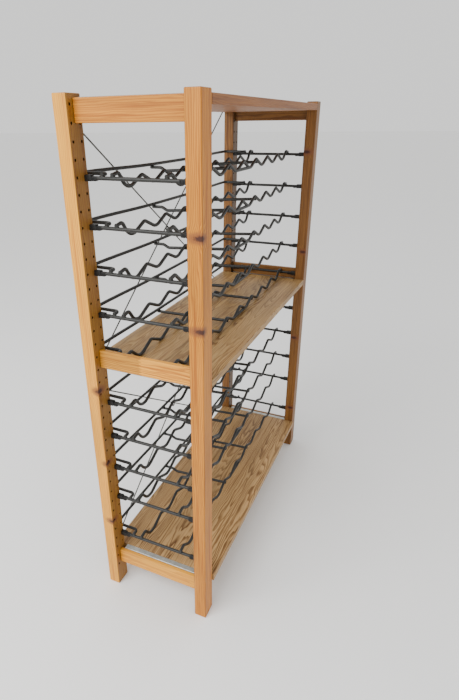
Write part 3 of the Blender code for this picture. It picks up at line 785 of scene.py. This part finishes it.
def make_posts():
    """Posts with their edges eased, then drilled."""
    for side_y, sign_y in SIDES_Y.items():
        for side_x, sign_x in SIDES_X.items():
            place = f"{side_y}_{side_x}"
            sap, late, pith, knots = POSTS[place]
            blank = bmesh.new()
            half = (POST_X / 2, POST_Y / 2)
            add_eased_box(blank, (-half[0], -half[1], 0), (half[0], half[1], HEIGHT), ARRIS_R)
            name = f"post_{place}_timber"
            mesh = carved_mesh(blank, [("DIFFERENCE", post_cuts(sign_x, sign_y))], name)
            knots = [(Vector(centre) * MM, Vector(size) * MM) for centre, size in knots]
            seed = POST_START + sign_x + BACK_START * sign_y
            material = pine(
                f"pine_post_{place}", "Z", seed, sap, late, pith, knots, drilled=half, inner_way=sign_y
            )
            location = (sign_x * POST_CENTRE_X, sign_y * POST_CENTRE_Y + FRAME_Y, 0)
            show(name, mesh, material, location, node=f"post_{place}", even=True)


# For each rung of the left ladder, and for all of the right one: its pale and dark growth, the rings'
# centre and the place of its finger joint.
LEFT_RUNGS = {
    "top": (HONEY, HONEY_LATE, (5 * MM, 30 * MM), None),
    "middle": (GOLDEN, HONEY_LATE, (30 * MM, 20 * MM), 16 * MM),
    "bottom": (PALE_HONEY, PALE_LATE, (-40 * MM, 10 * MM), None),
}
# Painted shade: the right ladder's rungs take the darker shaded pair.
RIGHT_RUNG = (SHADED_HONEY, SHADED_LATE, (30 * MM, -25 * MM), None)


def make_rungs():
    """Rungs with a tenon at each end."""
    for number, level in enumerate(LEVELS):
        for side in SIDES_X:
            low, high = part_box(f"rung_{level}_{side}")
            half_x = (high.x - low.x) / 2
            half_y = INNER_Y - GAP
            half_z = (high.z - low.z) / 2
            blank = bmesh.new()
            add_eased_box(blank, (-half_x, -half_y, -half_z), (half_x, half_y, half_z), RUNG_EDGE_R)
            tenon = (half_x - TENON_SHOULDER, INNER_Y + TENON_LENGTH, TENON_HEIGHT / 2)
            tenons = bmesh.new()
            add_box(tenons, [-size for size in tenon], tenon)
            name = f"rung_{level}_{side}_timber"
            mesh = carved_mesh(blank, [("UNION", tenons)], name)
            sap, late, pith, joint_at = LEFT_RUNGS[level] if side == "left" else RIGHT_RUNG
            seed = RUNG_START + RUNG_STEP * number + (RIGHT_START if side == "right" else 0)
            material = pine(f"pine_rung_{level}_{side}", "Y", seed, sap, late, pith, joint_at=joint_at)
            location = ((low + high) / 2).to_tuple()
            show(name, mesh, material, location, node=f"rung_{level}_{side}", even=True)


def shelf_place(level):
    """Middle of a shelf's top face."""
    low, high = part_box(f"shelf_{level}")
    return Vector((middle(low.x, high.x), middle(low.y, high.y), high.z))


def shelf_thickness():
    low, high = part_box("shelf_top")
    return high.z - low.z


def add_pin_slots(cuts, sign_x):
    """Slots, open below, that drop over the two shelf pins at one end."""
    half = PIN_R + SLOT_CLEARANCE
    slot_end = INNER_Y - PIN_REACH - SLOT_CLEARANCE - BOTTOM_SHELF_FORWARD
    for sign_y in SIDES_Y.values():
        ends = sorted((sign_y * slot_end, sign_y * INNER_Y))
        low = (sign_x * PEG_X - half, ends[0], -shelf_thickness() - SLOT_OVERRUN)
        high = (sign_x * PEG_X + half, ends[1], PIN_R + GAP - SHELF_ABOVE_ROW)
        add_box(cuts, low, high)


# For each board: its pale and dark growth, and its staves' width and where one starts.
SHELF_LOOKS = {
    "top": ((0.36, 0.13, 0.02), (0.2, 0.06, 0.008), (82 * MM, -20 * MM)),
    "middle": ((0.42, 0.26, 0.1), (0.17, 0.08, 0.024), (79 * MM, -5 * MM)),
    "bottom": ((0.47, 0.285, 0.115), (0.12, 0.05, 0.014), (86 * MM, -35 * MM)),
}


def make_shelves():
    """Glued boards, each with a tongue at both ends that the steel profile wraps."""
    thick = shelf_thickness()
    rebate = PROFILE_THICK + GAP
    for number, level in enumerate(LEVELS):
        low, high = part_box(f"shelf_{level}")
        end = (high.x - low.x) / 2
        blank = bmesh.new()
        add_eased_box(blank, (-end, -DEPTH / 2, -thick), (end, DEPTH / 2, 0), SHELF_EDGE_R)
        notches = bmesh.new()
        rebates = bmesh.new()
        slots = bmesh.new()
        for sign_x in SIDES_X.values():
            ends = sorted((sign_x * (INNER_X - SHOULDER_GAP), sign_x * LENGTH))
            for sign_y in SIDES_Y.values():
                sides = sorted((sign_y * (INNER_Y - TONGUE_SIDE_GAP), sign_y * DEPTH))
                add_box(notches, (ends[0], sides[0], -DEPTH), (ends[1], sides[1], DEPTH))
            add_box(rebates, (ends[0], -DEPTH, -rebate), (ends[1], DEPTH, DEPTH))
            add_box(rebates, (ends[0], -DEPTH, -DEPTH), (ends[1], DEPTH, rebate - thick))
            add_pin_slots(slots, sign_x)
        name = f"shelf_{level}_board"
        cuts = [("DIFFERENCE", shape) for shape in (notches, rebates, slots)]
        mesh = carved_mesh(blank, cuts, name)
        sap, late, staves = SHELF_LOOKS[level]
        seed = SHELF_START + SHELF_STEP * number
        growth = {"ring_strength": BOARD_RING_STRENGTH, "sway": BOARD_SWAY}
        material = pine(f"pine_shelf_{level}", "X", seed, sap, late, staves=staves, **growth)
        show(name, mesh, material, shelf_place(level), node=f"shelf_{level}", even=True)


def profile_mesh(sign_x):
    """A channel of folded sheet steel round a shelf tongue, slotted for the pins."""
    low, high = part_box(f"shelf_end_profile_top_{side_name(sign_x)}")
    open_end = INNER_X
    web = max(abs(low.x), abs(high.x)) - PROFILE_THICK / 2
    top = -PROFILE_THICK / 2
    bottom = PROFILE_THICK / 2 - (high.z - low.z)
    fold = PROFILE_BEND_R
    outline = [Vector((open_end, 0, top))]
    outline += bend((web, 0, top), (-1, 0, 0), (0, 0, -1), fold)
    outline += bend((web, 0, bottom), (0, 0, 1), (-1, 0, 0), fold)
    outline.append(Vector((open_end, 0, bottom)))
    half = (high.y - low.y) / 2
    sheet = bmesh.new()
    edges = []
    for point in outline:
        point.x *= sign_x
        edges.append([sheet.verts.new(point + Vector((0, y, 0))) for y in (-half, half)])
    for first, second in zip(edges, edges[1:]):
        sheet.faces.new((first[0], first[1], second[1], second[0]))
    bmesh.ops.recalc_face_normals(sheet, faces=sheet.faces)
    geometry = bmesh.ops.solidify(sheet, geom=sheet.faces[:], thickness=PROFILE_THICK)
    moved = {item for item in geometry["geom"] if isinstance(item, bmesh.types.BMVert)}
    centre_line(sheet, moved)
    slots = bmesh.new()
    add_pin_slots(slots, sign_x)
    return carved_mesh(sheet, [("DIFFERENCE", slots)], "profile")


def centre_line(sheet, moved):
    """Puts a thickened sheet's two skins half its thickness either side of the line it was made from."""
    for vert in moved:
        partner = min(
            (other for other in sheet.verts if other not in moved and abs(other.co.y - vert.co.y) < GAP),
            key=lambda other: (other.co - vert.co).length,
        )
        shift = (partner.co - vert.co) / 2
        vert.co += shift
        partner.co += shift


def turned_pin_mesh(length):
    bm = bmesh.new()
    tip = PIN_R - PIN_CHAMFER
    profile = [(0, tip), (PIN_CHAMFER, PIN_R), (length - PIN_CHAMFER, PIN_R), (length, tip)]
    add_turned(bm, (0, -length / 2, 0), (0, 1, 0), profile, WIRE_SIDES)
    return finished_mesh(bm, "shelf_pin")


def make_shelf_fittings():
    """The folded profiles round the shelves' ends and the pins that carry them."""
    plating = zinc("profile_zinc", (0.56, 0.56, 0.52), (0.34, 0.34, 0.31), 0.46)
    pin_plating = zinc("pin_zinc", (0.5, 0.5, 0.48), (0.32, 0.32, 0.3), 0.36)
    low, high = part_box("shelf_pin_top_front_left")
    pin = turned_pin_mesh(high.y - low.y)
    profiles = {side: profile_mesh(sign) for side, sign in SIDES_X.items()}
    for level in LEVELS:
        for side_x in SIDES_X:
            node = f"shelf_end_profile_{level}_{side_x}"
            show(f"{node}_steel", profiles[side_x], plating, shelf_place(level), node=node)
            for side_y in SIDES_Y:
                node = f"shelf_pin_{level}_{side_y}_{side_x}"
                low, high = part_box(node)
                show(f"{node}_steel", pin, pin_plating, (low + high) / 2, node=node)


# -------------------- bottle racks


def wave_path(y, peak):
    """A wave wire: a trough for each bottle, and a low hump at each end that comes down on to the bar."""
    hump_x = PEG_X - HUMP_FROM_BAR
    first = -(BOTTLES_ACROSS - 1) / 2 * BOTTLE_PITCH
    trough = peak - WAVE_DROP
    half = s_bend((-PEG_X, TIP_Z), (-hump_x, HUMP_RISE), HUMP_R, HUMP_R)
    half += s_bend((-hump_x, HUMP_RISE), (first, trough), HUMP_R, TROUGH_R)[1:]
    for bottle in range(BOTTLES_ACROSS // 2):
        centre = first + bottle * BOTTLE_PITCH
        top = centre + BOTTLE_PITCH / 2
        half += s_bend((centre, trough), (top, peak), TROUGH_R, PEAK_R)[1:]
        if top < 0:
            half += s_bend((top, peak), (top + BOTTLE_PITCH / 2, trough), PEAK_R, TROUGH_R)[1:]
    outline = [(-PEG_X - TIP_OVERHANG, TIP_Z)] + half
    outline += [(-x, z) for x, z in reversed(outline[:-1])]
    return [Vector((x, y, z)) for x, z in outline]


def back_wire_path():
    """The wire behind the bottles, which sags a little. Its ends turn forward and out to the bars."""
    turn = INNER_Y - BACK_ARM_TURN
    arm = INNER_X - BACK_ARM_FROM_POST
    right = [Vector((PEG_X + WIRE_R / 2, turn, TIP_Z))]
    right += bend((arm, turn, TIP_Z), (1, 0, 0), (0, 1, 0), BACK_ARM_BEND_R)
    right += bend((arm, BACK_WIRE_Y, TIP_Z), (0, -1, 0), (-1, 0, 0), BACK_BEND_R)
    start = arm - BACK_BEND_R
    for step in range(1, ARC_STEPS + 1):
        share = step / ARC_STEPS
        x = start + (BOTTLE_PITCH - start) * share
        sag = BACK_WIRE_SAG * (1 - math.cos(math.pi * share)) / 2
        right.append(Vector((x, BACK_WIRE_Y, TIP_Z - sag)))
    left = [Vector((-point.x, point.y, point.z)) for point in reversed(right)]
    return right + left


def cross_wire_path(x, back_peak):
    """A wire across the rack, under a peak of each wave and under the back wire."""
    front_z = FRONT_PEAK - WIRE_LIFT
    slope = (back_peak - FRONT_PEAK) / (BACK_WAVE_Y - FRONT_WAVE_Y)
    start = FRONT_WAVE_Y - CROSS_WIRE_OVERRUN
    foot = BACK_WIRE_Y - CROSS_STEP_FOOT
    head = BACK_WIRE_Y - CROSS_STEP_HEAD
    foot_z = front_z + slope * (foot - FRONT_WAVE_Y)
    head_z = -BAR_BELOW_ROW - BACK_WIRE_SAG
    points = [Vector((x, start, front_z - slope * CROSS_WIRE_OVERRUN))]
    step = s_bend((foot, foot_z), (head, head_z), CROSS_BEND_R, CROSS_BEND_R)
    points += [Vector((x, y, z)) for y, z in step]
    points.append(Vector((x, BACK_WIRE_Y + CROSS_WIRE_OVERRUN, head_z)))
    return points


def add_weld(bm, place, along):
    """A low bead where two wires cross, longer along one of them."""
    stretch = Vector(WELD_SHAPE) + Vector(along) * WELD_STRETCH
    matrix = Matrix.Translation(place) @ Matrix.Diagonal((*stretch, 1.0))
    bmesh.ops.create_icosphere(bm, subdivisions=2, radius=WELD_R, matrix=matrix)


def rack_mesh(back_peak):
    """All wires of one rack, with a bead at each weld."""
    bm = bmesh.new()
    bar_end = INNER_Y - GAP - CLIP_Y / 2
    half_lift = WIRE_LIFT / 2
    add_wire(bm, wave_path(FRONT_WAVE_Y, FRONT_PEAK), WIRE_R)
    add_wire(bm, wave_path(BACK_WAVE_Y, back_peak), WIRE_R)
    add_wire(bm, back_wire_path(), WIRE_R)
    for sign in SIDES_X.values():
        x = sign * PEG_X
        add_wire(bm, [(x, y, -BAR_BELOW_ROW) for y in (-bar_end, 0, bar_end)], WIRE_R)
        for y in (FRONT_WAVE_Y, BACK_WAVE_Y, INNER_Y - BACK_ARM_TURN):
            add_weld(bm, (x, y, half_lift - BAR_BELOW_ROW), (0, 1, 0))
        x = sign * BOTTLE_PITCH
        add_wire(bm, cross_wire_path(x, back_peak), WIRE_R)
        add_weld(bm, (x, FRONT_WAVE_Y, FRONT_PEAK - half_lift), (0, 1, 0))
        add_weld(bm, (x, BACK_WAVE_Y, back_peak - half_lift), (0, 1, 0))
        add_weld(bm, (x, BACK_WIRE_Y, half_lift - BAR_BELOW_ROW - BACK_WIRE_SAG), (1, 0, 0))
    return finished_mesh(bm, "bottle_rack")


def clip_mesh():
    """A plastic clip: a block at the post, a slim ribbed step along the bar, and a peg towards +Y."""
    bm = bmesh.new()
    add_eased_box(bm, (-CLIP_X / 2, -CLIP_Y, -CLIP_BELOW), (CLIP_X / 2, 0, CLIP_ABOVE), CLIP_EDGE_R)
    half = CLIP_STEP_X / 2
    bottom = -BAR_BELOW_ROW - WIRE_R - CLIP_STEP_WALL
    top = WIRE_R - BAR_BELOW_ROW - CLIP_STEP_WALL
    end = -CLIP_Y - CLIP_STEP_LENGTH
    add_eased_box(bm, (-half, end, bottom), (half, -CLIP_Y / 2, top), CLIP_STEP_EDGE_R)
    rib = CLIP_STEP_LENGTH / (RIB_COUNT + 1)
    for number in range(RIB_COUNT):
        start = end + rib * (number + RIB_OFFSET)
        low = (-half - RIB_HEIGHT, start, bottom - RIB_HEIGHT)
        high = (half + RIB_HEIGHT, start + rib / 2, top - RIB_HEIGHT)
        add_eased_box(bm, low, high, RIB_HEIGHT / 2)
    root = CLIP_Y / 3
    tip = root + GAP + CLIP_PEG_LENGTH
    peg = [(0, CLIP_PEG_R)]
    peg += [(tip - back, CLIP_PEG_R * share) for back, share in CLIP_PEG_TIP]
    add_turned(bm, (0, -root, 0), (0, 1, 0), peg, WIRE_SIDES)
    return finished_mesh(bm, "clip")


def make_racks():
    """Ten racks, each hung by four clips. The lowest of the upper bay is lifted by the shelf under it."""
    coating = coated_wire()
    plastic = black_plastic()
    clip = clip_mesh()
    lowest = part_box(f"bottle_rack_{LIFTED_RACK:02d}")
    shelf_top = shelf_place("middle").z
    hanging = rack_mesh(BACK_PEAK)
    lifted_peak = shelf_top - nearest_row_z(middle(lowest[0].z, lowest[1].z)) + GAP + WIRE_R + WAVE_DROP
    lifted = rack_mesh(max(BACK_PEAK, lifted_peak))
    for number in RACK_NUMBERS:
        node = f"bottle_rack_{number:02d}"
        low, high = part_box(node)
        height = nearest_row_z(middle(low.z, high.z))
        mesh = lifted if number == LIFTED_RACK else hanging
        show(f"{node}_wires", mesh, coating, (0, FRAME_Y, height), node=node)
        for side_y, sign_y in SIDES_Y.items():
            for side_x, sign_x in SIDES_X.items():
                name = f"rack_clip_{number:02d}_{side_y}_{side_x}"
                location = (sign_x * PEG_X, sign_y * (INNER_Y - GAP) + FRAME_Y, height)
                turn = 0 if sign_y > 0 else math.pi
                show(name, clip, plastic, location, turn, node=node)


# -------------------- brace


def eye_path(centre, way, sign):
    """A loop of the rod's wire round a screw: it starts beside the rod and turns almost full circle."""
    side = Vector((0, 1, 0)).cross(way) * sign
    points = []
    steps = 4 * ARC_STEPS
    sweep = 2 * math.pi - math.radians(EYE_OPEN_DEGREES)
    for step in range(steps + 1):
        angle = sweep * step / steps
        points.append(centre - side * EYE_R * math.cos(angle) - way * EYE_R * math.sin(angle))
    return points


def rod_mesh(layer, left_z, right_z):
    """A brace rod with an eye turned at each end. A rod of the outer layer bends in to the posts."""
    eyes = [Vector((-POST_CENTRE_X, ROD_LAYER_1, left_z)), Vector((POST_CENTRE_X, ROD_LAYER_1, right_z))]
    way = (eyes[1] - eyes[0]).normalized()
    depth = Vector((0, layer - ROD_LAYER_1, 0))
    left = eye_path(eyes[0], way, 1)
    right = eye_path(eyes[1], -way, -1)
    start = left[0]
    end = right[0]
    inner_start = start + way * LAYER_BEND
    inner_end = end - way * LAYER_BEND
    points = left[::-1]
    points += [start + way * LAYER_BEND_START, inner_start + depth]
    points += [(inner_start + inner_end) / 2 + depth, inner_end + depth]
    points.append(end - way * LAYER_BEND_START)
    points += right
    bm = bmesh.new()
    add_wire(bm, points, ROD_R, ROD_SIDES)
    return finished_mesh(bm, "brace_rod")


def ring_mesh():
    """A punched washer between two rods."""
    half = RING_THICK / 2
    flat = half - RING_EDGE
    disc = bmesh.new()
    profile = [(-half, RING_R - RING_EDGE), (-flat, RING_R), (flat, RING_R), (half, RING_R - RING_EDGE)]
    add_turned(disc, (0, 0, 0), (0, 1, 0), profile, 2 * WIRE_SIDES)
    hole = bmesh.new()
    through = [(-RING_THICK, RING_HOLE_R), (RING_THICK, RING_HOLE_R)]
    add_turned(hole, (0, 0, 0), (0, 1, 0), through, 2 * WIRE_SIDES)
    return carved_mesh(disc, [("DIFFERENCE", hole)], "brace_ring")


def screw_mesh():
    """A pan-head screw with a cross recess and a pointed, ridged shank. +Y is out of the post."""
    seat = 2 * ROD_R + 2 * GAP
    solid = bmesh.new()
    core = SCREW_R * SCREW_CORE_SHARE
    neck = SCREW_R * SCREW_NECK_SHARE
    profile = [(-SCREW_IN_POST, SCREW_R * SCREW_POINT_SHARE), (SCREW_POINT - SCREW_IN_POST, core)]
    for turn in range(int((SCREW_IN_POST - THREAD_MARGIN) / THREAD_PITCH)):
        y = THREAD_START - SCREW_IN_POST + turn * THREAD_PITCH
        profile += [(y, core), (y + THREAD_PITCH * THREAD_RISE, SCREW_R)]
        profile.append((y + THREAD_PITCH * THREAD_CREST, SCREW_R))
    profile += [(0, neck), (seat, neck), (seat, SCREW_HEAD_R)]
    dome = SCREW_HEAD_THICK - SCREW_RIM_THICK
    for step in range(ARC_STEPS + 1):
        angle = math.pi / 2 * step / (ARC_STEPS + 1)
        radius = SCREW_HEAD_R * (SCREW_FLAT_TOP + (1 - SCREW_FLAT_TOP) * math.cos(angle))
        profile.append((seat + SCREW_RIM_THICK + dome * math.sin(angle), radius))
    add_turned(solid, (0, 0, 0), (0, 1, 0), profile, 2 * WIRE_SIDES)
    recess = bmesh.new()
    top = seat + SCREW_HEAD_THICK
    half = RECESS_WIDTH / 2
    add_box(recess, (-RECESS_REACH, top - RECESS_DEPTH, -half), (RECESS_REACH, top + RECESS_DEPTH, half))
    other = bmesh.new()
    add_box(other, (-half, top - RECESS_DEPTH, -RECESS_REACH), (half, top + RECESS_DEPTH, RECESS_REACH))
    return carved_mesh(solid, [("DIFFERENCE", recess), ("DIFFERENCE", other)], "brace_screw")


def make_brace():
    """The crossed rods at the back, the washers where they cross and their screws."""
    dull_steel = zinc("brace_rod_zinc", (0.13, 0.13, 0.12), (0.06, 0.06, 0.055), 0.45)
    bright_steel = zinc("screw_zinc", (0.55, 0.55, 0.52), (0.36, 0.36, 0.33), 0.34)
    ring = ring_mesh()
    screw = screw_mesh()
    for name, (layer, left_z, right_z) in brace_ends().items():
        node = f"brace_rod_{name}"
        rod = rod_mesh(layer, left_z, right_z)
        show(f"{node}_steel", rod, dull_steel, (0, FRAME_Y, 0), node=node)
        for side, sign, height in (("left", -1, left_z), ("right", 1, right_z)):
            node = f"brace_screw_{name}_{side}"
            location = (sign * POST_CENTRE_X, DEPTH / 2 + FRAME_Y, height)
            show(f"{node}_steel", screw, bright_steel, location, node=node)
    for level in ("upper", "lower"):
        node = f"brace_ring_{level}"
        low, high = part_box(node)
        show(f"{node}_steel", ring, dull_steel, (low + high) / 2, node=node)


# -------------------- stage


CAMERA_PLACE = Vector((-1.257, -0.516 + FRAME_Y, 1.189))
CAMERA_HEADING = math.radians(25.05)
CAMERA_PITCH = math.radians(-25.04)
CAMERA_ROLL = math.radians(-0.81)
CAMERA_SHIFT = (0.046, 0.0047)
SENSOR_MM = 36
LENS_MM = 25.5
FLOOR_HALF = 60
FLOOR_COLOUR = (0.92, 0.92, 0.915)


def add_camera():
    """A view down on to the open front from the left."""
    data = bpy.data.cameras.new("camera")
    camera = bpy.data.objects.new("camera", data)
    bpy.context.scene.collection.objects.link(camera)
    data.sensor_width = SENSOR_MM
    data.lens = LENS_MM
    data.shift_x, data.shift_y = CAMERA_SHIFT
    reach = math.cos(CAMERA_PITCH)
    across = reach * math.cos(CAMERA_HEADING)
    forward = Vector((across, reach * math.sin(CAMERA_HEADING), math.sin(CAMERA_PITCH)))
    right = Vector((math.sin(CAMERA_HEADING), -math.cos(CAMERA_HEADING), 0))
    up = right.cross(forward)
    rolled_right = math.cos(CAMERA_ROLL) * right + math.sin(CAMERA_ROLL) * up
    rolled_up = math.cos(CAMERA_ROLL) * up - math.sin(CAMERA_ROLL) * right
    axes = Matrix((rolled_right, rolled_up, -forward)).transposed().to_4x4()
    camera.matrix_world = Matrix.Translation(CAMERA_PLACE) @ axes
    bpy.context.scene.camera = camera


def add_floor():
    bm = bmesh.new()
    bmesh.ops.create_grid(bm, x_segments=1, y_segments=1, size=FLOOR_HALF)
    mesh = finished_mesh(bm, "floor")
    graph = Graph("pale_floor", roughness=0.8, base_color=(*FLOOR_COLOUR, 1))
    mesh.materials.append(graph.material)
    floor = bpy.data.objects.new("floor", mesh)
    bpy.context.scene.collection.objects.link(floor)


def add_light(name, energy, size, location, target):
    data = bpy.data.lights.new(name, "AREA")
    data.energy = energy
    data.size = size
    light = bpy.data.objects.new(name, data)
    light.location = location
    light.rotation_euler = (Vector(target) - Vector(location)).to_track_quat("-Z", "Y").to_euler()
    bpy.context.scene.collection.objects.link(light)


def add_sky(colour, strength):
    world = bpy.data.worlds.new("world")
    bpy.context.scene.world = world
    world.use_nodes = True
    background = world.node_tree.nodes["Background"]
    background.inputs["Color"].default_value = (*colour, 1)
    background.inputs["Strength"].default_value = strength


add_camera()
add_floor()
add_light("key", energy=112, size=2.2, location=(-2.4, 0.8, 2.6), target=(-0.2, 0, 0.8))
add_sky(colour=(0.95, 0.95, 0.94), strength=1.15)
make_posts()
make_rungs()
make_shelves()
make_shelf_fittings()
make_racks()
make_brace()
